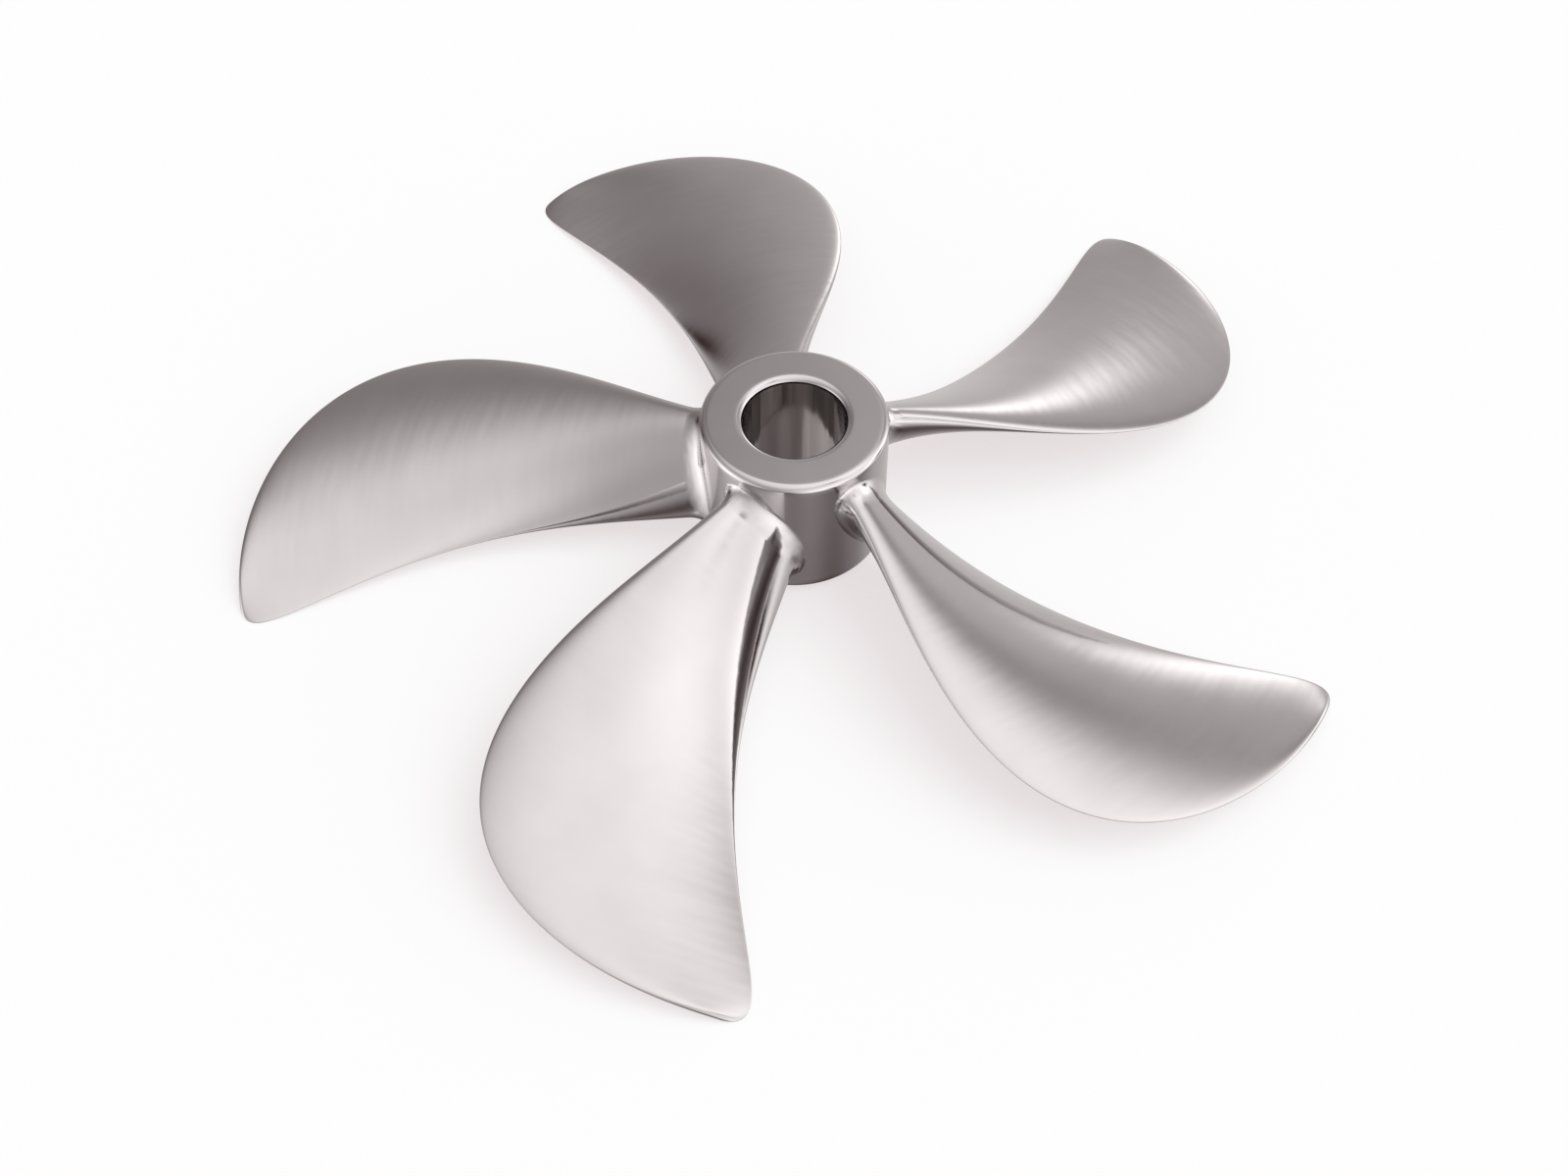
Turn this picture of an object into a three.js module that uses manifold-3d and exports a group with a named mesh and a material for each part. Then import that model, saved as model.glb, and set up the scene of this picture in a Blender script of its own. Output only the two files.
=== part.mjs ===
// A five-blade left-hand boat propeller, fabricated from a turned hub, five blades whose root
// tenons sit in slots of the hub, and two fillet welds along the root of each blade.
// Millimetres, +Z along the shaft axis towards the forward end of the hub.
import * as THREE from 'three';
import { LoftGeometry } from 'three/addons/geometries/LoftGeometry.js';
import { mergeVertices } from 'three/addons/utils/BufferGeometryUtils.js';
import Module from 'manifold-3d';

const wasm = await Module();
wasm.setup();

// The hub: a plain bored cylinder with rounded rims. The part's origin is the centroid.
const BLADES = 5;
const TIP_RADIUS = 280;
const HUB_RADIUS = 46;
const HUB_LENGTH = 75.5;
const BORE_RADIUS = 25;
const RIM_ROUND = 3.5;
const FORWARD_FACE_Z = 47;

// The blade's edges, as the control values of smooth curves from root to tip: angles in degrees
// about the shaft, heights in millimetres from the hub's forward face.
const ROOT_RADIUS = 0.16 * TIP_RADIUS;
const LEADING_ANGLE = [16, 2, 8, 13.5, 14.5, 40, 47.5];
const TRAILING_ANGLE = [51, 36, 47, 47.5, 51, 51.5, 47.5];
const LEADING_HEIGHT = [-13, -29.5, -45, -55.5, -56.5, -58.5, -77];
const TRAILING_HEIGHT = [-60.5, -61.5, -72, -75.5, -77, -81.5, -77];

// The blade's thickness at mid chord, the size of its rounded edges and the rise of its mean line.
const ROOT_THICKNESS = 22;
const TIP_THICKNESS = 2.6;
const THINNING = 0.8;
const EDGE_THICKNESS = 1.6;
const ROOT_FULLNESS = 1;
const TIP_FULLNESS = 1.9;
const CAMBER_RATIO = 0.02;

// The root joint: a round-ended tenon in a slot of the hub, with a fillet weld on each face.
const TENON_LENGTH = 36;
const TENON_THICKNESS = 10;
const TENON_DEPTH = 12;
const TENON_OVERLAP = 4;
const WELD_WIDTH = 5;
const WELD_RISE = 9;
const FIT_GAP = 0.3;

// How finely the curves are stepped.
const HUB_STEPS = 72;
const RIM_STEPS = 3;
const STATIONS = 20;
const LAST_SPAN = 0.99;
const FACE_STEPS = 16;
const EDGE_CROWDING = 0.5;

const STEEL = { color: 0xb9b4b0, roughness: 0.22, metalness: 1 };
const WELD_STEEL = { color: 0xaca7a3, roughness: 0.3, metalness: 1 };

// A geometry as a manifold-3d solid.
function solidFrom(geometry) {
  const bare = new THREE.BufferGeometry();
  bare.setAttribute('position', geometry.getAttribute('position'));
  bare.setIndex(geometry.getIndex());
  const merged = mergeVertices(bare, 1e-4);
  return new wasm.Manifold(new wasm.Mesh({
    numProp: 3,
    vertProperties: merged.attributes.position.array,
    triVerts: new Uint32Array(merged.index.array),
  }));
}

// A manifold-3d solid as a geometry with flat facets.
function geometryFrom(solid) {
  const mesh = solid.getMesh();
  const geometry = new THREE.BufferGeometry();
  geometry.setAttribute('position', new THREE.BufferAttribute(mesh.vertProperties, 3));
  geometry.setIndex(new THREE.BufferAttribute(mesh.triVerts, 1));
  geometry.computeVertexNormals();
  return geometry;
}

function finished(name, geometry, look) {
  const mesh = new THREE.Mesh(geometry, new THREE.MeshStandardMaterial(look));
  mesh.name = name;
  return mesh;
}

// A value along the span from its curve's control values (a Bezier curve, by halving the row).
function alongSpan(controls, span) {
  let row = controls;
  while (row.length > 1) {
    row = row.slice(1).map((value, i) => THREE.MathUtils.lerp(row[i], value, span));
  }
  return row[0];
}

// The radius is quadratic in the span, which closes the outline in a smooth round at the tip.
function radiusAt(span) {
  return TIP_RADIUS - (TIP_RADIUS - ROOT_RADIUS) * (1 - span) ** 2;
}

function spanAt(radius) {
  return 1 - Math.sqrt((TIP_RADIUS - radius) / (TIP_RADIUS - ROOT_RADIUS));
}

// The chord line of a section, on its cylinder unrolled flat: x is arc length about the shaft
// and y is height. `along` points from the leading to the trailing edge, `forward` towards +Z.
function chordLine(span) {
  const arcPerDegree = THREE.MathUtils.DEG2RAD * radiusAt(span);
  const leading = new THREE.Vector2(
    alongSpan(LEADING_ANGLE, span) * arcPerDegree,
    alongSpan(LEADING_HEIGHT, span),
  );
  const trailing = new THREE.Vector2(
    alongSpan(TRAILING_ANGLE, span) * arcPerDegree,
    alongSpan(TRAILING_HEIGHT, span),
  );
  const chord = leading.distanceTo(trailing);
  const along = trailing.clone().sub(leading).normalize();
  const forward = new THREE.Vector2(-along.y, along.x);
  const middle = leading.add(trailing).multiplyScalar(0.5);
  return { chord, along, forward, middle };
}

// The section's thickness at mid chord and at its edges, which both run out at the very tip, and
// how hollow the run from one to the other is: 1 for an ellipse, 2 for a lens.
function thicknessAt(span) {
  const outward = Math.max(0, (radiusAt(span) - HUB_RADIUS) / (TIP_RADIUS - HUB_RADIUS));
  const middle = THREE.MathUtils.lerp(TIP_THICKNESS, ROOT_THICKNESS, (1 - outward) ** THINNING);
  const fullness = THREE.MathUtils.lerp(ROOT_FULLNESS, TIP_FULLNESS, outward);
  const tipRound = Math.min(1, Math.sqrt((TIP_RADIUS - radiusAt(span)) / EDGE_THICKNESS));
  return { middle: middle * tipRound, edge: EDGE_THICKNESS * tipRound, fullness };
}

// The outline of a section about its chord line, counter-clockwise from the trailing edge: the
// forward face, the leading edge and the aft face.
function sectionOutline(span) {
  const { chord } = chordLine(span);
  const { middle, edge, fullness } = thicknessAt(span);
  const points = [];
  for (let i = 0; i < 2 * FACE_STEPS; i++) {
    const share = i / FACE_STEPS;
    const crowd = (EDGE_CROWDING * Math.sin(2 * Math.PI * share)) / (2 * Math.PI);
    const turn = Math.PI * (share - crowd);
    const swell = Math.abs(Math.sin(turn));
    const halfThickness = ((middle - edge) * swell ** fullness + edge * Math.sqrt(swell)) / 2;
    const face = i < FACE_STEPS ? 1 : -1;
    points.push(new THREE.Vector2(
      (chord / 2) * Math.cos(turn),
      face * halfThickness + CAMBER_RATIO * chord * swell ** 2,
    ));
  }
  return points;
}

// A point of an outline, pushed out of it by `offset` and on along it by `slide`.
function outlinePoint(outline, index, offset, slide) {
  const count = outline.length;
  const before = outline[(index + count - 1) % count];
  const after = outline[(index + 1) % count];
  const along = after.clone().sub(before).normalize();
  const outward = new THREE.Vector2(along.y, -along.x);
  return outline[index % count].clone().addScaledVector(outward, offset).addScaledVector(along, slide);
}

// Rolls a point of a section back onto its cylinder.
function rolled(point, line, radius) {
  const arc = line.middle.x + line.along.x * point.x + line.forward.x * point.y;
  const height = line.middle.y + line.along.y * point.x + line.forward.y * point.y;
  const angle = arc / radius;
  return new THREE.Vector3(radius * Math.cos(angle), radius * Math.sin(angle), height);
}

function bladeLoft() {
  const sections = [];
  for (let i = 0; i < STATIONS; i++) {
    const span = LAST_SPAN * (i / (STATIONS - 1)) ** 1.3;
    const line = chordLine(span);
    sections.push(sectionOutline(span).map((point) => rolled(point, line, radiusAt(span))));
  }
  return new LoftGeometry(sections, { capStart: true, capEnd: true });
}

// A bar with round ends that runs radially through the hub's wall, under the blade's root.
function tenonBar(clearance, innerRadius, outerRadius) {
  const line = chordLine(spanAt(HUB_RADIUS));
  const half = TENON_LENGTH / 2 - TENON_THICKNESS / 2;
  const round = TENON_THICKNESS / 2 + clearance;
  const shape = new THREE.Shape();
  shape.absarc(half, 0, round, -Math.PI / 2, Math.PI / 2);
  shape.absarc(-half, 0, round, Math.PI / 2, Math.PI * 1.5);
  const bar = new THREE.ExtrudeGeometry(shape, {
    depth: outerRadius - innerRadius,
    bevelEnabled: false,
    curveSegments: 6,
  });
  const angle = line.middle.x / HUB_RADIUS;
  const radial = new THREE.Vector3(Math.cos(angle), Math.sin(angle), 0);
  const tangent = new THREE.Vector3(-Math.sin(angle), Math.cos(angle), 0);
  const along = tangent.clone().multiplyScalar(line.along.x).setZ(line.along.y);
  const forward = tangent.clone().multiplyScalar(line.forward.x).setZ(line.forward.y);
  const place = new THREE.Matrix4().makeBasis(along, forward, radial);
  place.setPosition(radial.clone().multiplyScalar(innerRadius).setZ(line.middle.y));
  return bar.applyMatrix4(place);
}

function hubLathe() {
  const profile = new THREE.Path();
  const outer = HUB_RADIUS - RIM_ROUND;
  const inner = BORE_RADIUS + RIM_ROUND;
  const aft = RIM_ROUND - HUB_LENGTH;
  profile.absarc(outer, aft, RIM_ROUND, -Math.PI / 2, 0);
  profile.absarc(outer, -RIM_ROUND, RIM_ROUND, 0, Math.PI / 2);
  profile.absarc(inner, -RIM_ROUND, RIM_ROUND, Math.PI / 2, Math.PI);
  profile.absarc(inner, aft, RIM_ROUND, Math.PI, Math.PI * 1.5);
  profile.closePath();
  const points = profile.getPoints(RIM_STEPS);
  return new THREE.LatheGeometry(points, HUB_STEPS).rotateX(Math.PI / 2);
}

function makeHub() {
  let hub = solidFrom(hubLathe());
  const slot = solidFrom(tenonBar(FIT_GAP, HUB_RADIUS - TENON_DEPTH - FIT_GAP, HUB_RADIUS * 1.1));
  for (let i = 0; i < BLADES; i++) {
    hub = hub.subtract(slot.rotate([0, 0, (360 * i) / BLADES]));
  }
  return geometryFrom(hub);
}

function makeBlade() {
  const reach = HUB_RADIUS + FIT_GAP;
  const hubSpace = new THREE.CylinderGeometry(reach, reach, HUB_LENGTH * 2, HUB_STEPS);
  hubSpace.rotateX(Math.PI / 2);
  const tenon = tenonBar(0, HUB_RADIUS - TENON_DEPTH, HUB_RADIUS + TENON_OVERLAP);
  const blade = solidFrom(bladeLoft()).subtract(solidFrom(hubSpace)).add(solidFrom(tenon));
  return geometryFrom(blade);
}

// The weld's own section, in millimetres off the blade and off the hub: a hollow fillet.
function weldProfile() {
  const points = [[FIT_GAP, FIT_GAP], [FIT_GAP, FIT_GAP + WELD_RISE]];
  for (const degrees of [72, 45, 18]) {
    const turn = degrees * THREE.MathUtils.DEG2RAD;
    points.push([
      FIT_GAP + WELD_WIDTH * (1 - Math.sin(turn)),
      FIT_GAP + WELD_RISE * (1 - Math.cos(turn)),
    ]);
  }
  points.push([FIT_GAP + WELD_WIDTH, FIT_GAP]);
  return points;
}

// A weld along half of the root outline, from edge to edge over one face of the blade.
function makeWeld(firstIndex) {
  const profile = weldProfile();
  const outlines = profile.map(([, height]) => {
    const span = spanAt(HUB_RADIUS + height);
    return { span, outline: sectionOutline(span), line: chordLine(span) };
  });
  const sections = [];
  for (let i = 0; i <= FACE_STEPS; i++) {
    const slide = i === 0 ? FIT_GAP / 2 : i === FACE_STEPS ? -FIT_GAP / 2 : 0;
    sections.push(profile.map(([offset, height], j) => {
      const { outline, line } = outlines[j];
      const point = outlinePoint(outline, firstIndex + i, offset, slide);
      return rolled(point, line, HUB_RADIUS + height);
    }));
  }
  return new LoftGeometry(sections, { capStart: true, capEnd: true });
}

const propeller = new THREE.Group();
propeller.position.z = FORWARD_FACE_Z;
propeller.add(finished('hub', makeHub(), STEEL));

const bladeShape = makeBlade();
const forwardWeld = makeWeld(0);
const aftWeld = makeWeld(FACE_STEPS);
for (let i = 0; i < BLADES; i++) {
  const arm = new THREE.Group();
  arm.rotation.z = (2 * Math.PI * i) / BLADES;
  arm.add(finished(`blade_${i + 1}`, bladeShape, STEEL));
  arm.add(finished(`weld_forward_${i + 1}`, forwardWeld, WELD_STEEL));
  arm.add(finished(`weld_aft_${i + 1}`, aftWeld, WELD_STEEL));
  propeller.add(arm);
}

const part = new THREE.Group();
part.add(propeller);
export default part;
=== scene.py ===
"""A five-blade boat propeller in polished metal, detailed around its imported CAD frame.

The hub, the blades and the root welds are rebuilt as smooth pieces from the same curves as the
CAD model, in metres, and given procedural metal finishes. The classes hold their sizes in
millimetres and degrees, as a maker's drawing does, unless they say otherwise.
"""

import logging
import math
from dataclasses import dataclass
from enum import Enum
from typing import Callable, Sequence

import bmesh
import bpy
from mathutils import Matrix, Vector


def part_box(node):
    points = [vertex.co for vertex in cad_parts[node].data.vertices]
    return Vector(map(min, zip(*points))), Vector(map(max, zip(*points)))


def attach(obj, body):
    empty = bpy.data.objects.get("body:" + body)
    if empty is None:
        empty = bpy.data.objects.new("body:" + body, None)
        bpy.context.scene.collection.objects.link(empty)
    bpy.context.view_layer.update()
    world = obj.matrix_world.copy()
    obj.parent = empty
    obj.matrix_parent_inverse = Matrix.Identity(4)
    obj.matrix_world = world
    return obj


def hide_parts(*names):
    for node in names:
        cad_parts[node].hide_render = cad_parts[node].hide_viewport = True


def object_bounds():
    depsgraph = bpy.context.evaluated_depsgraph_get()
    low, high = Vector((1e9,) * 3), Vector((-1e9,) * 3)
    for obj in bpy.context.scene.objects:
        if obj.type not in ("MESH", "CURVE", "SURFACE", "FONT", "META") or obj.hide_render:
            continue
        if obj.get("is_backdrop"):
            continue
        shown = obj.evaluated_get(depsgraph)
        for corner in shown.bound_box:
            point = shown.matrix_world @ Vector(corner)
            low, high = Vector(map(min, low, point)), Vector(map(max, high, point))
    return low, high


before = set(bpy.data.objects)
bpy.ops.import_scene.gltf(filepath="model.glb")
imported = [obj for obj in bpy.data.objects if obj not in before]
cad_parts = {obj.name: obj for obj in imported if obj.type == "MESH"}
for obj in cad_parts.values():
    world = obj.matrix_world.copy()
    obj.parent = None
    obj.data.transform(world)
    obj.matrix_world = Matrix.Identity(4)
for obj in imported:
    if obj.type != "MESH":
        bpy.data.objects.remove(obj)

LOG = logging.getLogger("propeller")
MM = 0.001
BLADES = 5
BODY = "root"
HARD_EDGE = math.radians(50)
MERGE_DISTANCE = 0.001 * MM
QUAD_CORNERS = 4
NOISE_LOW, NOISE_HIGH = 0.3, 0.7


class Face(Enum):
    """The two faces of a blade, by which half of a section's outline runs over each."""

    FORWARD = 0
    AFT = 1


class Slot(Enum):
    """The record's material slots."""

    BLADE = "blade_metal"
    HUB = "hub_metal"
    WELD = "weld_metal"


class Grain(Enum):
    """How the marks of the last finishing pass lie on a piece."""

    ALONG_BLADE = "strokes from root to tip"
    ROUND_SHAFT = "turned round the shaft"
    DOWN_BORE = "honed along the bore"
    ALONG_WELD = "ground along the run"


def bezier(controls: Sequence[float], span: float) -> float:
    """Finds a value along the blade from its curve's control values.

    Args:
        controls: The control values from root to tip.
        span: The place along the curve, 0 at the root and 1 at the tip.

    Returns:
        The value there.
    """
    row = list(controls)
    while len(row) > 1:
        row = [a + (b - a) * span for a, b in zip(row, row[1:])]
    return row[0]


def blend(low: float, high: float, share: float) -> float:
    """Mixes two values: low at a share of 0 and high at a share of 1."""
    return low + (high - low) * share


@dataclass(frozen=True)
class ChordLine:
    """The chord of a section, on its cylinder unrolled flat, in millimetres.

    The last field is the z of the hub's forward face in metres, which heights are counted from.
    """

    chord: float
    along: Vector
    forward: Vector
    middle: Vector
    face_z: float

    def rolled(self, point: Vector, radius: float) -> Vector:
        """Rolls a point of the section back onto a cylinder.

        Args:
            point: The point about the chord's middle, along the chord and square to it.
            radius: The cylinder's radius in millimetres.

        Returns:
            The place in metres.
        """
        flat = self.middle + self.along * point.x + self.forward * point.y
        angle = flat.x / radius
        return Vector(
            (
                radius * math.cos(angle) * MM,
                radius * math.sin(angle) * MM,
                flat.y * MM + self.face_z,
            )
        )


@dataclass(frozen=True)
class BladeForm:
    """The smooth form of one blade: the curves of its edges and its thickness.

    Angles are in degrees about the shaft and heights in millimetres from the hub's forward face,
    whose own z is in metres.
    """

    face_z: float
    tip_radius: float = 280.0
    hub_radius: float = 46.0
    root_share: float = 0.16
    leading_angle: tuple[float, ...] = (16, 2, 8, 13.5, 14.5, 40, 47.5)
    trailing_angle: tuple[float, ...] = (51, 36, 47, 47.5, 51, 51.5, 47.5)
    leading_height: tuple[float, ...] = (-13, -29.5, -45, -55.5, -56.5, -58.5, -77)
    trailing_height: tuple[float, ...] = (-60.5, -61.5, -72, -75.5, -77, -81.5, -77)
    root_thickness: float = 22.0
    tip_thickness: float = 2.6
    thinning: float = 0.8
    edge_thickness: float = 1.6
    root_fullness: float = 1.0
    tip_fullness: float = 1.9
    camber: float = 0.02
    edge_crowding: float = 0.7

    def radius_at(self, span: float) -> float:
        """Gives the radius, which is quadratic in the span and so rounds off the tip."""
        reach = self.tip_radius * (1 - self.root_share)
        return self.tip_radius - reach * (1 - span) ** 2

    def span_at(self, radius: float) -> float:
        """Gives the span at a radius in millimetres."""
        reach = self.tip_radius * (1 - self.root_share)
        return 1 - math.sqrt((self.tip_radius - radius) / reach)

    def chord_line(self, span: float) -> ChordLine:
        """Finds the chord line of a section.

        Args:
            span: The place along the blade.

        Returns:
            The chord line, with `along` from the leading to the trailing edge.
        """
        radius = self.radius_at(span)
        arc = math.radians(1) * radius
        leading = Vector(
            (bezier(self.leading_angle, span) * arc, bezier(self.leading_height, span))
        )
        trailing = Vector(
            (bezier(self.trailing_angle, span) * arc, bezier(self.trailing_height, span))
        )
        along = (trailing - leading).normalized()
        forward = Vector((-along.y, along.x))
        chord = (trailing - leading).length
        return ChordLine(chord, along, forward, (leading + trailing) / 2, self.face_z)

    def outline(self, span: float, steps: int) -> list[Vector]:
        """Draws the outline of a section about its chord line.

        Args:
            span: The place along the blade.
            steps: How many points each face gets.

        Returns:
            Points from the trailing edge over the forward face and back over the aft face.
        """
        chord = self.chord_line(span).chord
        width = self.tip_radius - self.hub_radius
        outward = max(0.0, (self.radius_at(span) - self.hub_radius) / width)
        left_to_tip = self.tip_radius - self.radius_at(span)
        tip_round = min(1.0, math.sqrt(left_to_tip / self.edge_thickness))
        middle = tip_round * blend(
            self.tip_thickness, self.root_thickness, (1 - outward) ** self.thinning
        )
        edge = tip_round * self.edge_thickness
        fullness = blend(self.root_fullness, self.tip_fullness, outward)
        points = []
        for i in range(2 * steps):
            share = i / steps
            crowd = self.edge_crowding * math.sin(2 * math.pi * share) / (2 * math.pi)
            turn = math.pi * (share - crowd)
            swell = abs(math.sin(turn))
            half = ((middle - edge) * swell**fullness + edge * math.sqrt(swell)) / 2
            side = 1 if i < steps else -1
            rise = side * half + self.camber * chord * swell**2
            points.append(Vector((chord / 2 * math.cos(turn), rise)))
        return points


def pushed(outline: Sequence[Vector], index: int, offset: float) -> Vector:
    """Pushes a point of an outline straight out of it.

    Args:
        outline: The outline's points in order.
        index: Which point.
        offset: How far out, in millimetres.

    Returns:
        The point pushed out.
    """
    count = len(outline)
    along = (outline[(index + 1) % count] - outline[(index - 1) % count]).normalized()
    return outline[index % count] + Vector((along.y, -along.x)) * offset


def loft(
    rings: Sequence[Sequence[Vector]],
    grain: Callable[[int, int], Vector] | None = None,
) -> bmesh.types.BMesh:
    """Draws a closed shell out of a circle, ring by ring.

    Args:
        rings: Rings of the same number of points, in metres.
        grain: Gives the place of a point in the pattern of the surface, from its ring and its
            number in the ring.

    Returns:
        The shell, capped at both ends.
    """
    shape = bmesh.new()
    number = shape.verts.layers.int.new("number")
    flow = shape.verts.layers.float_vector.new("grain")
    bmesh.ops.create_circle(shape, cap_ends=True, radius=1, segments=len(rings[0]))
    shape.verts.ensure_lookup_table()
    for i, vert in enumerate(shape.verts):
        vert[number] = i
    verts = list(shape.verts)
    edges = list(shape.edges)
    for ring_number, ring in enumerate(rings):
        if ring_number:
            drawn = bmesh.ops.extrude_edge_only(shape, edges=edges)["geom"]
            verts = [item for item in drawn if isinstance(item, bmesh.types.BMVert)]
            edges = [
                item
                for item in drawn
                if isinstance(item, bmesh.types.BMEdge) and item.is_boundary
            ]
        for vert in verts:
            vert.co = ring[vert[number]]
            if grain:
                vert[flow] = grain(ring_number, vert[number])
    bmesh.ops.contextual_create(shape, geom=edges)
    bmesh.ops.recalc_face_normals(shape, faces=shape.faces)
    return shape


def mark_hard_edges(shape: bmesh.types.BMesh) -> None:
    """Shades a shape smooth except over its hard edges.

    Args:
        shape: The shape to mark.
    """
    for face in shape.faces:
        face.smooth = True
    for edge in shape.edges:
        edge.smooth = edge.calc_face_angle(0) < HARD_EDGE


def piece_from(
    shape: bmesh.types.BMesh, name: str, slot: Slot, material: bpy.types.Material
) -> bpy.types.Object:
    """Turns a shape into a piece of the object, riding on its body.

    Args:
        shape: The shape, in metres. It is freed.
        name: The piece's name.
        slot: The record's slot for its finish; not used.
        material: Its material.

    Returns:
        The piece.
    """
    mesh = bpy.data.meshes.new(name)
    mark_hard_edges(shape)
    shape.to_mesh(mesh)
    shape.free()
    mesh.materials.append(material)
    piece = bpy.data.objects.new(name, mesh)
    bpy.context.scene.collection.objects.link(piece)
    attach(piece, BODY)
    return piece


class Graph:
    """A shorthand for building a node tree."""

    def __init__(self, tree: bpy.types.NodeTree) -> None:
        """Keeps the tree and empties it."""
        self.tree = tree
        tree.nodes.clear()

    def node(self, kind: str, **values: object) -> bpy.types.Node:
        """Adds a node.

        Args:
            kind: The node's type.
            **values: Its own settings, such as operation.

        Returns:
            The node.
        """
        made = self.tree.nodes.new(kind)
        for name, value in values.items():
            setattr(made, name, value)
        return made

    def feed(self, socket: bpy.types.NodeSocket, value: object) -> None:
        """Links a socket to another, or sets its value.

        Args:
            socket: The input to feed.
            value: The output that feeds it, or a plain value.
        """
        if isinstance(value, bpy.types.NodeSocket):
            self.tree.links.new(value, socket)
        else:
            socket.default_value = value

    def math(self, operation: str, *values: object) -> bpy.types.NodeSocket:
        """Adds a Math node.

        Args:
            operation: What it works out.
            *values: Its inputs in order, each an output to link or a number.

        Returns:
            Its output.
        """
        made = self.node("ShaderNodeMath", operation=operation)
        for socket, value in zip(made.inputs, values):
            self.feed(socket, value)
        return made.outputs[0]

    def vector(self, operation: str, *values: object) -> bpy.types.Node:
        """Adds a Vector Math node.

        Args:
            operation: What it works out.
            *values: Its inputs in order, each an output to link or three numbers.

        Returns:
            The node, whose output depends on the operation.
        """
        made = self.node("ShaderNodeVectorMath", operation=operation)
        for socket, value in zip(made.inputs, values):
            self.feed(socket, value)
        return made

    def noise(
        self, place: bpy.types.NodeSocket, scale: float, detail: float
    ) -> bpy.types.NodeSocket:
        """Adds a Noise Texture.

        Args:
            place: The place in the texture.
            scale: How many times the place is enlarged.
            detail: How many finer layers it has.

        Returns:
            Its factor.
        """
        made = self.node("ShaderNodeTexNoise")
        self.feed(made.inputs["Vector"], place)
        made.inputs["Scale"].default_value = scale
        made.inputs["Detail"].default_value = detail
        return made.outputs["Fac"]

    def ranged(
        self, value: bpy.types.NodeSocket, low: float, high: float
    ) -> bpy.types.NodeSocket:
        """Spreads the middle of a noise over a range.

        Args:
            value: The noise.
            low: The result where the noise is low.
            high: The result where it is high.

        Returns:
            The result.
        """
        made = self.node("ShaderNodeMapRange", clamp=True)
        self.feed(made.inputs["Value"], value)
        made.inputs["From Min"].default_value = NOISE_LOW
        made.inputs["From Max"].default_value = NOISE_HIGH
        made.inputs["To Min"].default_value = low
        made.inputs["To Max"].default_value = high
        return made.outputs["Result"]


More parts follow.
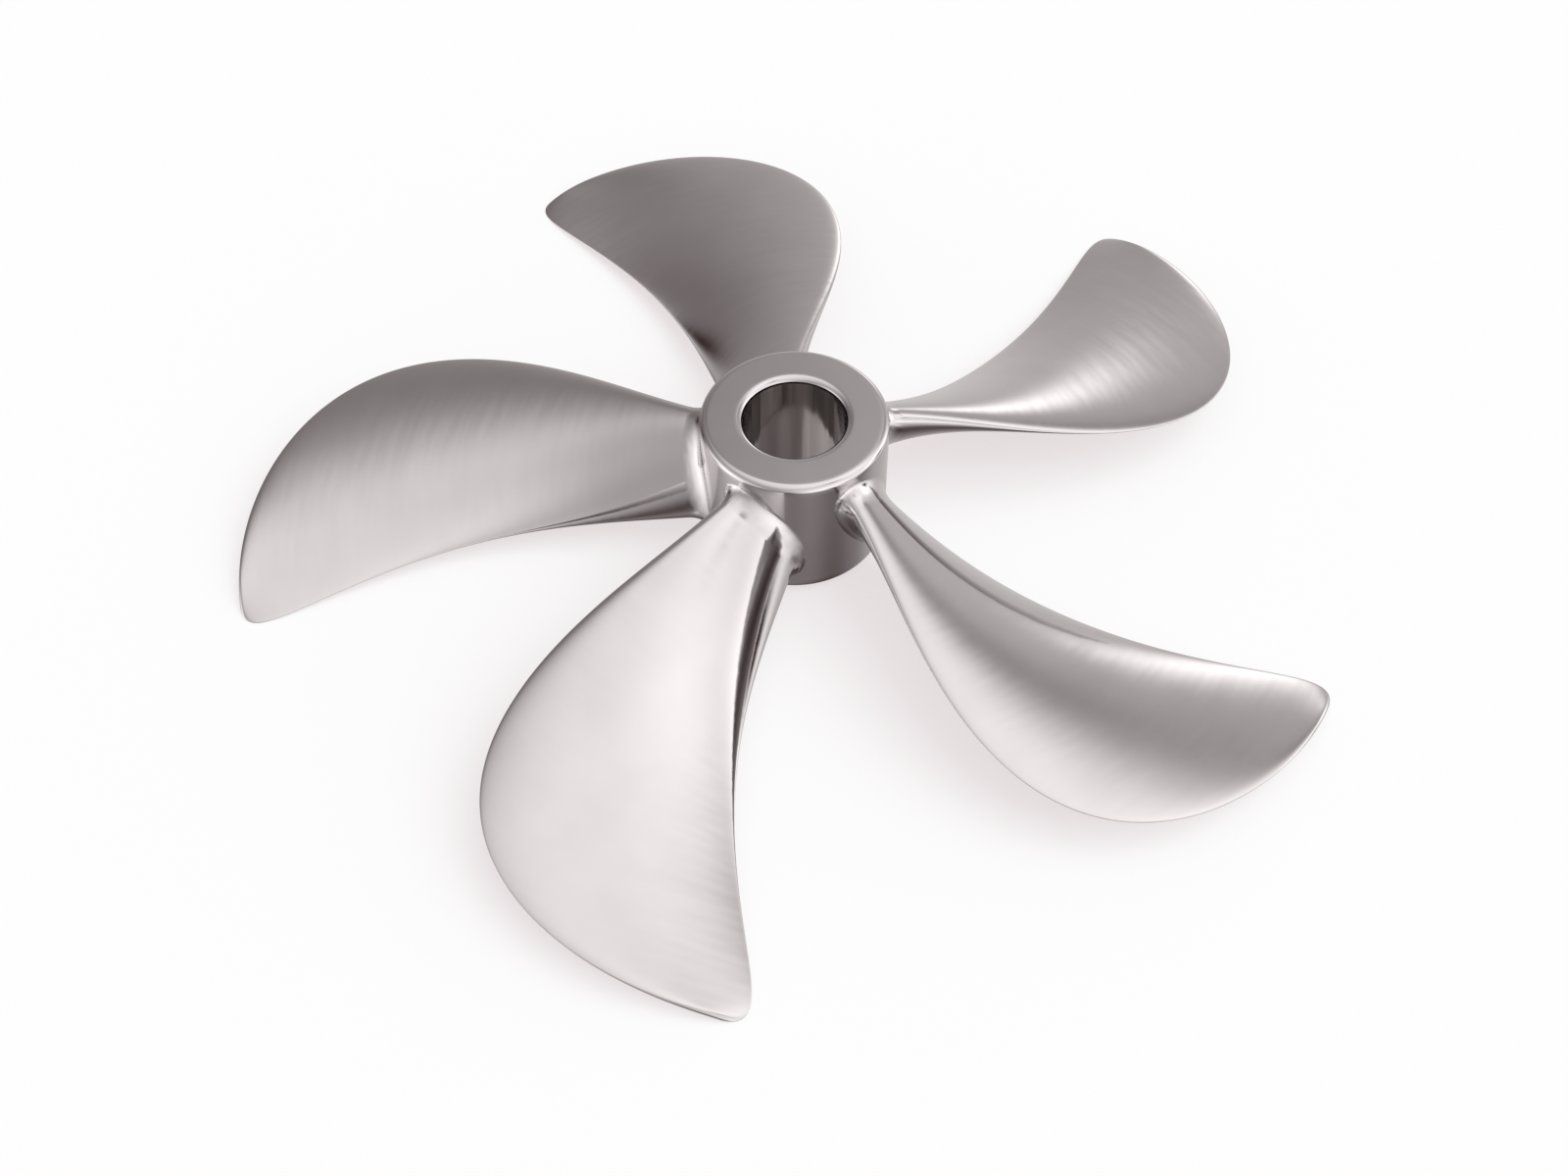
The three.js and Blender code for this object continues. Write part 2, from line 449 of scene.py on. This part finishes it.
@dataclass(frozen=True)
class MetalFinish:
    """A worked metal surface: its tint, gloss, finishing marks and the waves left in it.

    Sizes are in metres. The marks run along the grain and the waves across it, and the gloss
    varies with both the marks and the broad patches.
    """

    name: str
    grain: Grain
    tint: tuple[float, float, float] = (0.572, 0.548, 0.548)
    tint_spread: float = 0.025
    roughness: float = 0.1
    roughness_spread: float = 0.03
    roughness_from_marks: float = 0.6
    mark_spacing: float = 0.7 * MM
    mark_length: float = 45 * MM
    mark_depth: float = 0.0012 * MM
    wave_width: float = 8 * MM
    wave_length: float = 35 * MM
    wave_depth: float = 0.085 * MM
    patch_size: float = 30 * MM

    def pattern_place(self, graph: Graph, width: float, length: float) -> bpy.types.NodeSocket:
        """Gives the place in a pattern that follows the grain.

        Turned marks run all the way round, so round the shaft the length plays no part.

        Args:
            graph: The material's graph.
            width: The size of the pattern across the grain, in metres.
            length: Its size along the grain.

        Returns:
            The place, in units of the pattern's size.
        """
        across, along = 1 / width, 1 / length
        place = graph.node("ShaderNodeTexCoord").outputs["Object"]
        if self.grain is Grain.DOWN_BORE:
            return graph.vector("MULTIPLY", place, (across, across, along)).outputs[0]
        if self.grain is Grain.ROUND_SHAFT:
            split = graph.node("ShaderNodeSeparateXYZ")
            graph.feed(split.inputs[0], place)
            flat = graph.vector("MULTIPLY", place, (1, 1, 0))
            radius = graph.vector("LENGTH", flat.outputs[0]).outputs["Value"]
            angle = graph.math("ARCTAN2", split.outputs["Y"], split.outputs["X"])
            joined = graph.node("ShaderNodeCombineXYZ")
            graph.feed(joined.inputs["X"], graph.math("MULTIPLY", radius, across))
            graph.feed(joined.inputs["Y"], graph.math("COSINE", angle))
            graph.feed(
                joined.inputs["Z"],
                graph.math("MULTIPLY", split.outputs["Z"], across),
            )
            return joined.outputs[0]
        own = graph.node("ShaderNodeAttribute", attribute_name="grain")
        return graph.vector("MULTIPLY", own.outputs["Vector"], (across, along, 1)).outputs[0]

    def material(self) -> bpy.types.Material:
        """Builds the material.

        Returns:
            A metal with spread tint and gloss, fine marks and shallow waves.
        """
        made = bpy.data.materials.new(self.name)
        made.use_nodes = True
        graph = Graph(made.node_tree)
        place = graph.node("ShaderNodeTexCoord").outputs["Object"]
        mark_place = self.pattern_place(graph, self.mark_spacing, self.mark_length)
        wave_place = self.pattern_place(graph, self.wave_length, self.wave_width)
        marks = graph.noise(mark_place, scale=1, detail=3)
        waves = graph.noise(wave_place, scale=1, detail=1)
        patches = graph.noise(place, scale=1 / self.patch_size, detail=2)

        shade = graph.node("ShaderNodeMix", data_type="RGBA", blend_type="MULTIPLY")
        shade.inputs["Factor"].default_value = 1
        shade.inputs["A"].default_value = (*self.tint, 1)
        tone = graph.ranged(patches, 1 - self.tint_spread, 1 + self.tint_spread)
        graph.feed(shade.inputs["B"], tone)

        shader = graph.node("ShaderNodeBsdfPrincipled")
        shader.inputs["Metallic"].default_value = 1
        graph.feed(shader.inputs["Base Color"], shade.outputs["Result"])
        low, high = self.roughness - self.roughness_spread, self.roughness + self.roughness_spread
        share = self.roughness_from_marks
        broad = graph.math("MULTIPLY", patches, 1 - share)
        mottle = graph.math("MULTIPLY_ADD", marks, share, broad)
        graph.feed(shader.inputs["Roughness"], graph.ranged(mottle, low, high))

        normal = None
        for height, depth in ((waves, self.wave_depth), (marks, self.mark_depth)):
            bump = graph.node("ShaderNodeBump")
            bump.inputs["Distance"].default_value = depth
            graph.feed(bump.inputs["Height"], height)
            if normal:
                graph.feed(bump.inputs["Normal"], normal)
            normal = bump.outputs["Normal"]
        graph.feed(shader.inputs["Normal"], normal)

        output = graph.node("ShaderNodeOutputMaterial")
        graph.feed(output.inputs["Surface"], shader.outputs["BSDF"])
        return made


@dataclass
class Joint:
    """The hidden tenon of a blade and the slot that it sits in, in millimetres."""

    length: float = 36.0
    thickness: float = 10.0
    depth: float = 12.0
    clearance: float = 0.3

    def outline(self, steps: int, gap: float) -> list[Vector]:
        """Draws a bar's round-ended outline.

        Args:
            steps: How many points each side gets.
            gap: How far outside the tenon the outline lies.

        Returns:
            Points in the order of a blade's outline.
        """
        round_off = self.thickness / 2 + gap
        straight = (self.length - self.thickness) / 2
        points = []
        for i in range(2 * steps):
            turn = math.pi * i / steps
            halfway = 2 * (i % steps) == steps
            end = 0.0 if halfway else math.copysign(straight, math.cos(turn))
            points.append(
                Vector((end + round_off * math.cos(turn), round_off * math.sin(turn)))
            )
        return points


@dataclass
class Blade:
    """One blade with its tenon.

    The stations are its sections, which crowd towards the root and stop just short of the tip,
    where the chord runs out. The steps are the points on each face of a section.
    """

    form: BladeForm
    joint: Joint
    finish: MetalFinish
    stations: int = 110
    steps: int = 56
    last_span: float = 0.997
    crowding: float = 1.25

    def shape(self) -> bmesh.types.BMesh:
        """Draws the tenon, the shoulder and the blade out to its tip.

        Returns:
            The shape of the first blade.
        """
        form, joint = self.form, self.joint
        shoulder = form.hub_radius + joint.clearance
        start = form.span_at(shoulder)
        line = form.chord_line(start)
        bar = joint.outline(self.steps, 0)
        radii = [form.hub_radius - joint.depth, shoulder]
        rings = [[line.rolled(point, radius) for point in bar] for radius in radii]
        for i in range(self.stations):
            share = (i / (self.stations - 1)) ** self.crowding
            span = blend(start, self.last_span, share)
            line, radius = form.chord_line(span), form.radius_at(span)
            section = form.outline(span, self.steps)
            rings.append([line.rolled(point, radius) for point in section])
            radii.append(radius)

        def grain(ring: int, number: int) -> Vector:
            """Places a point by its distance over the face and its radius.

            Args:
                ring: The section's number.
                number: The point's number in the section.

            Returns:
                The place in the pattern, with the face's side last.
            """
            first = rings[ring][0]
            side = 1 if number < self.steps else -1
            return Vector(((rings[ring][number] - first).length, radii[ring] * MM, side))

        return loft(rings, grain)

    def build(self) -> list[bpy.types.Object]:
        """Makes the five blades.

        Returns:
            The blades in order round the shaft.
        """
        material = self.finish.material()
        first = self.shape()
        made = []
        for i in range(BLADES):
            name = f"blade_{i + 1}"
            shape = turned_about_shaft(first, i)
            piece = piece_from(shape, f"{name}_polished", Slot.BLADE, material)
            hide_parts(name)
            made.append(piece)
        first.free()
        return made


def turned_about_shaft(shape: bmesh.types.BMesh, place: int) -> bmesh.types.BMesh:
    """Copies a shape of the first blade to another blade's place.

    Args:
        shape: The first blade's shape.
        place: How many blades further round the shaft, counter-clockwise from forward.

    Returns:
        The turned copy.
    """
    copy = shape.copy()
    turn = Matrix.Rotation(2 * math.pi * place / BLADES, 3, "Z")
    bmesh.ops.rotate(copy, verts=copy.verts, cent=(0, 0, 0), matrix=turn)
    return copy


@dataclass
class RootWeld:
    """The fillet weld runs along a blade's root, one on each face, in millimetres.

    A run's back is sunk into the blade and the hub, and its face is lifted a hair off them, so
    that it neither leaves a gap nor dips under them.
    """

    form: BladeForm
    finish: MetalFinish
    width: float = 5.0
    rise: float = 9.0
    sunk: float = 0.15
    lift: float = 0.02
    steps: int = 56
    arc_steps: int = 12

    def profile(self) -> list[tuple[float, float]]:
        """Draws the run's own section: a hollow fillet.

        Returns:
            Points as millimetres off the blade and off the hub.
        """
        points = [(-self.sunk, -self.sunk), (-self.sunk, self.rise)]
        for i in range(self.arc_steps + 1):
            turn = math.pi / 2 * (1 - i / self.arc_steps)
            points.append(
                (
                    self.lift + self.width * (1 - math.sin(turn)),
                    self.lift + self.rise * (1 - math.cos(turn)),
                )
            )
        points.append((self.width, -self.sunk))
        return points

    def shape(self, face: Face) -> bmesh.types.BMesh:
        """Draws the run from the trailing to the leading edge, or back over the aft face.

        Args:
            face: The face of the blade that the run lies on.

        Returns:
            The shape of the first blade's run.
        """
        form = self.form
        levels = []
        for offset, rise in self.profile():
            radius = form.hub_radius + rise
            span = form.span_at(radius)
            levels.append(
                (offset, radius, form.outline(span, self.steps), form.chord_line(span))
            )
        first = face.value * self.steps
        rings = []
        for i in range(self.steps + 1):
            rings.append(
                [
                    line.rolled(pushed(outline, first + i, offset), radius)
                    for offset, radius, outline, line in levels
                ]
            )

        def grain(ring: int, number: int) -> Vector:
            """Places a point by its distance over the run and along it.

            Args:
                ring: The number of the run's section.
                number: The point's number in the section.

            Returns:
                The place in the pattern, with the face's number last.
            """
            over = (rings[ring][number] - rings[ring][0]).length
            return Vector((over, ring * MM, face.value))

        return loft(rings, grain)

    def build(self) -> list[bpy.types.Object]:
        """Makes the ten runs.

        Returns:
            The forward runs and then the aft runs, in order round the shaft.
        """
        material = self.finish.material()
        made = []
        for face in Face:
            first = self.shape(face)
            for i in range(BLADES):
                name = f"weld_{face.name.lower()}_{i + 1}"
                shape = turned_about_shaft(first, i)
                piece = piece_from(shape, f"{name}_ground", Slot.WELD, material)
                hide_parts(name)
                made.append(piece)
            first.free()
        return made


@dataclass
class Hub:
    """The turned hub with its bore and the slots for the tenons, in millimetres.

    Whatever lies within the bore's skin gets the bore's finish, whose darker tint is painted
    shade.
    """

    form: BladeForm
    joint: Joint
    finish: MetalFinish
    bore_finish_and_shade: MetalFinish
    bore_radius: float = 25.0
    bore_skin: float = 0.2
    rim_round: float = 3.5
    rim_segments: int = 10
    turn_steps: int = 210
    face_cuts: int = 11
    side_cuts: int = 26
    slot_steps: int = 16
    slot_reach: float = 1.1

    def turned(self) -> bmesh.types.BMesh:
        """Turns the hub from its section.

        Returns:
            The hub without its slots.
        """
        low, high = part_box("hub")
        inner, outer = self.bore_radius * MM, self.form.hub_radius * MM
        shape = bmesh.new()
        corners = [
            shape.verts.new((x, 0, z))
            for x, z in ((inner, low.z), (outer, low.z), (outer, high.z), (inner, high.z))
        ]
        shape.faces.new(corners)
        bmesh.ops.bevel(
            shape,
            geom=corners,
            offset=self.rim_round * MM,
            segments=self.rim_segments,
            profile=0.5,
            affect="VERTICES",
            material=-1,
        )
        flats = [e for e in shape.edges if e.calc_length() > self.rim_round * 2 * MM]
        for edge in flats:
            upright = abs(edge.verts[0].co.x - edge.verts[1].co.x) < MERGE_DISTANCE
            cuts = self.side_cuts if upright else self.face_cuts
            bmesh.ops.subdivide_edges(shape, edges=[edge], cuts=cuts)
        bmesh.ops.delete(shape, geom=list(shape.faces), context="FACES_ONLY")
        bmesh.ops.spin(
            shape,
            geom=list(shape.verts) + list(shape.edges),
            cent=(0, 0, 0),
            axis=(0, 0, 1),
            angle=2 * math.pi,
            steps=self.turn_steps,
            use_merge=True,
        )
        bmesh.ops.remove_doubles(shape, verts=shape.verts, dist=MERGE_DISTANCE)
        bmesh.ops.recalc_face_normals(shape, faces=shape.faces)
        return shape

    def slots(self) -> bmesh.types.BMesh:
        """Draws the bars that the slots are cut with.

        Returns:
            The five bars as one shape.
        """
        joint, form = self.joint, self.form
        line = form.chord_line(form.span_at(form.hub_radius + joint.clearance))
        bar = joint.outline(self.slot_steps, joint.clearance)
        floor = form.hub_radius - joint.depth - joint.clearance
        top = form.hub_radius * self.slot_reach
        first = loft([[line.rolled(point, radius) for point in bar] for radius in (floor, top)])
        together = bmesh.new()
        spare = bpy.data.meshes.new("slot")
        for i in range(BLADES):
            shape = turned_about_shaft(first, i)
            shape.to_mesh(spare)
            shape.free()
            together.from_mesh(spare)
        first.free()
        bpy.data.meshes.remove(spare)
        return together

    def build(self) -> bpy.types.Object:
        """Makes the hub with its slots cut.

        Returns:
            The hub.
        """
        hub = piece_from(self.turned(), "hub_turned", Slot.HUB, self.finish.material())
        cutter_mesh = bpy.data.meshes.new("slots")
        cutter_shape = self.slots()
        cutter_shape.to_mesh(cutter_mesh)
        cutter_shape.free()
        cutter = bpy.data.objects.new("slots", cutter_mesh)
        bpy.context.scene.collection.objects.link(cutter)
        cut = hub.modifiers.new("slots", "BOOLEAN")
        cut.operation = "DIFFERENCE"
        cut.solver = "EXACT"
        cut.object = cutter
        bpy.context.view_layer.update()
        depsgraph = bpy.context.evaluated_depsgraph_get()
        finished = bpy.data.meshes.new_from_object(hub.evaluated_get(depsgraph))
        hub.modifiers.clear()
        hub.data = finished
        bpy.data.objects.remove(cutter)
        finished.materials.append(self.bore_finish_and_shade.material())
        self.finish_cut(finished)
        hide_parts("hub")
        return hub

    def finish_cut(self, mesh: bpy.types.Mesh) -> None:
        """Splits the many-sided faces that the cut leaves, and gives the bore its own finish,
        darkened with painted shade.

        Args:
            mesh: The hub's mesh, with the bore's material second.
        """
        shape = bmesh.new()
        shape.from_mesh(mesh)
        wide = [face for face in shape.faces if len(face.verts) > QUAD_CORNERS]
        bmesh.ops.triangulate(shape, faces=wide, quad_method="BEAUTY", ngon_method="BEAUTY")
        mark_hard_edges(shape)
        # The bore's faces take the darker metal, which is painted shade.
        bore = (self.bore_radius + self.bore_skin) * MM
        for face in shape.faces:
            face.material_index = int(face.calc_center_median().xy.length < bore)
        shape.to_mesh(mesh)
        shape.free()


def direction_to(azimuth: float, elevation: float) -> tuple[float, float, float]:
    """Finds the direction from the object to a place in the studio.

    Args:
        azimuth: The place's turn about the object in degrees, 0 behind it and 90 to its right.
        elevation: Its height above the horizon in degrees.

    Returns:
        The direction, of length 1.
    """
    turn, rise = math.radians(azimuth), math.radians(elevation)
    return (
        math.sin(turn) * math.cos(rise),
        math.cos(turn) * math.cos(rise),
        math.sin(rise),
    )


@dataclass(frozen=True)
class Glow:
    """A soft light or a dark flag of the studio, by where it stands and how far it spreads.

    The strength is how much brighter than the room it is, or below zero how much darker.
    """

    azimuth: float
    elevation: float
    tightness: float
    strength: float


@dataclass
class Studio:
    """The pale floor, the soft lights and the camera.

    The metal mirrors the room, whose brightness rises with height and has the glows added to it,
    while the camera sees a plain backdrop. The floor is part paint and part glow, so that its
    shadows stay faint, and its size is in metres. The lamp's strength is in watts per square
    metre. The camera's place is in millimetres from the middle of the hub's forward face.
    """

    room: float = -1.17
    room_slope: float = 1.03
    darkest: float = 0.02
    floor_size: float = 12.0
    floor_cells: int = 4
    floor_roughness: float = 0.9
    floor_tone: tuple[float, float, float] = (0.185, 0.2265, 0.217)
    floor_lift: tuple[float, float, float] = (0.70, 0.635, 0.65)
    backdrop_tone: float = 0.98
    warm_tone: tuple[float, float, float] = (0.03, 0.0, 0.001)
    glows: tuple[Glow, ...] = (
        Glow(142, -31, 1.9, 3.99),
        Glow(81, 54, 5.7, 1.11),
        Glow(-65, -1, 40, -0.53),
        Glow(45, 40, 39, -0.49),
        Glow(20, 12, 96, 1.60),
        Glow(5, -32, 1.4, 2.04),
        Glow(-178, -26, 13, -1.13),
        Glow(-84, 55, 24, 0.32),
        Glow(81, -6, 64, -2.89),
        Glow(-156, 63, 5.5, 0.78),
        Glow(-103, -16, 4.4, 2.57),
        Glow(-22, 67, 17, 0.60),
        Glow(133, -45, 5.4, -1.98),
        Glow(-14, 51, 42, -0.42),
        Glow(78, 0, 15, 2.10),
        Glow(131, 51, 119, -0.70),
        Glow(90, -38, 62, -0.37),
        Glow(169, -23, 27, 0.65),
        Glow(-151, -52, 152, 0.45),
    )
    lamp_azimuth: float = 105.0
    lamp_elevation: float = 55.0
    lamp_spread: float = 57.3
    lamp_strength: float = 2.2
    camera_place: tuple[float, float, float] = (-5.1, -655.4, 716.5)
    camera_tilt: float = 37.58
    lens: float = 46.1
    sensor: float = 36.0

    def brightness(self, graph: Graph) -> bpy.types.NodeSocket:
        """Sums the room and its glows.

        Args:
            graph: The world's graph.

        Returns:
            How bright the room is in the direction that is looked in.
        """
        towards = graph.node("ShaderNodeTexCoord").outputs["Generated"]
        split = graph.node("ShaderNodeSeparateXYZ")
        graph.feed(split.inputs[0], towards)
        total = graph.math("MULTIPLY_ADD", split.outputs["Z"], self.room_slope, self.room)
        for glow in self.glows:
            centre = direction_to(glow.azimuth, glow.elevation)
            near = graph.vector("DOT_PRODUCT", towards, centre).outputs["Value"]
            fall = graph.math("MULTIPLY_ADD", near, glow.tightness, -glow.tightness)
            total = graph.math(
                "MULTIPLY_ADD", graph.math("EXPONENT", fall), glow.strength, total
            )
        return graph.math("MAXIMUM", total, self.darkest)

    def light(self) -> None:
        """Lights the room with soft glows from all round, like a light tent."""
        world = bpy.data.worlds.new("light_tent")
        bpy.context.scene.world = world
        world.use_nodes = True
        graph = Graph(world.node_tree)
        tent = graph.node("ShaderNodeBackground")
        tent.inputs["Color"].default_value = (1, 1, 1, 1)
        graph.feed(tent.inputs["Strength"], self.brightness(graph))
        warm = graph.node("ShaderNodeBackground")
        warm.inputs["Color"].default_value = (*self.warm_tone, 1)
        lit = graph.node("ShaderNodeAddShader")
        graph.feed(lit.inputs[0], tent.outputs[0])
        graph.feed(lit.inputs[1], warm.outputs[0])
        plain = graph.node("ShaderNodeBackground")
        plain.inputs["Color"].default_value = (*(self.backdrop_tone,) * 3, 1)
        mixed = graph.node("ShaderNodeMixShader")
        graph.feed(mixed.inputs[0], graph.node("ShaderNodeLightPath").outputs["Is Camera Ray"])
        graph.feed(mixed.inputs[1], lit.outputs[0])
        graph.feed(mixed.inputs[2], plain.outputs[0])
        output = graph.node("ShaderNodeOutputWorld")
        graph.feed(output.inputs["Surface"], mixed.outputs[0])

    def floor_lamp(self) -> None:
        """Hangs a broad soft lamp for the floor, which the metal doesn't mirror."""
        data = bpy.data.lights.new("floor_lamp", "SUN")
        data.energy = self.lamp_strength
        data.angle = math.radians(self.lamp_spread)
        lamp = bpy.data.objects.new("floor_lamp", data)
        towards = Vector(direction_to(self.lamp_azimuth, self.lamp_elevation))
        lamp.rotation_euler = towards.to_track_quat("Z", "Y").to_euler()
        lamp.visible_glossy = False
        bpy.context.scene.collection.objects.link(lamp)

    def floor(self) -> None:
        """Lays a plain pale floor under the lowest point of the propeller."""
        shape = bmesh.new()
        cells = self.floor_cells
        bmesh.ops.create_grid(
            shape, x_segments=cells, y_segments=cells, size=self.floor_size / 2
        )
        bmesh.ops.translate(shape, verts=shape.verts, vec=(0, 0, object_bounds()[0].z))
        mesh = bpy.data.meshes.new("floor")
        shape.to_mesh(mesh)
        shape.free()
        material = bpy.data.materials.new("pale_floor")
        material.use_nodes = True
        shader = material.node_tree.nodes["Principled BSDF"]
        shader.inputs["Base Color"].default_value = (*self.floor_tone, 1)
        shader.inputs["Roughness"].default_value = self.floor_roughness
        shader.inputs["Specular IOR Level"].default_value = 0
        shader.inputs["Emission Color"].default_value = (*self.floor_lift, 1)
        shader.inputs["Emission Strength"].default_value = 1
        mesh.materials.append(material)
        ground = bpy.data.objects.new("floor", mesh)
        bpy.context.scene.collection.objects.link(ground)
        ground.visible_glossy = False
        ground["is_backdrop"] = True

    def camera(self) -> None:
        """Sets the camera up in front of the hub, looking down at it."""
        data = bpy.data.cameras.new("camera")
        data.sensor_width = self.sensor
        data.lens = self.lens
        view = bpy.data.objects.new("camera", data)
        bpy.context.scene.collection.objects.link(view)
        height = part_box("hub")[1].z
        view.location = Vector(self.camera_place) * MM + Vector((0, 0, height))
        view.rotation_euler = (math.radians(self.camera_tilt), 0, 0)
        bpy.context.scene.camera = view

    def build(self) -> None:
        """Sets the whole studio up and shows colours as they are."""
        self.light()
        self.floor_lamp()
        self.floor()
        self.camera()
        bpy.context.scene.view_settings.view_transform = "Standard"
        bpy.context.scene.view_settings.look = "None"


def main() -> None:
    """Builds the propeller and the studio round it, and reports each piece."""
    logging.basicConfig(level=logging.INFO, format="%(name)s: %(message)s")
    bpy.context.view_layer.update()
    form, joint = BladeForm(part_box("hub")[1].z), Joint()
    polished = MetalFinish("polished_blade_metal", Grain.ALONG_BLADE)
    turned = MetalFinish("turned_hub_metal", Grain.ROUND_SHAFT, mark_spacing=0.35 * MM)
    bored_and_shaded = MetalFinish(
        "bored_hub_metal_painted_shade",
        Grain.DOWN_BORE,
        # The bore's darker tint is painted shade of the deep bore; its honed marks and waves are
        # its own.
        tint=(0.34, 0.315, 0.31),
        roughness=0.12,
        mark_spacing=0.5 * MM,
        mark_depth=0.003 * MM,
        wave_width=90 * MM,
        wave_length=5 * MM,
        wave_depth=0.3 * MM,
    )
    ground = MetalFinish(
        "ground_weld_metal",
        Grain.ALONG_WELD,
        wave_width=5 * MM,
        wave_length=6 * MM,
        wave_depth=0.3 * MM,
    )
    pieces = [Hub(form, joint, turned, bored_and_shaded).build()]
    pieces += Blade(form, joint, polished).build()
    pieces += RootWeld(form, ground).build()
    for piece in pieces:
        LOG.info("%s: %d faces", piece.name, len(piece.data.polygons))
    Studio().build()


if __name__ == "__main__":
    main()
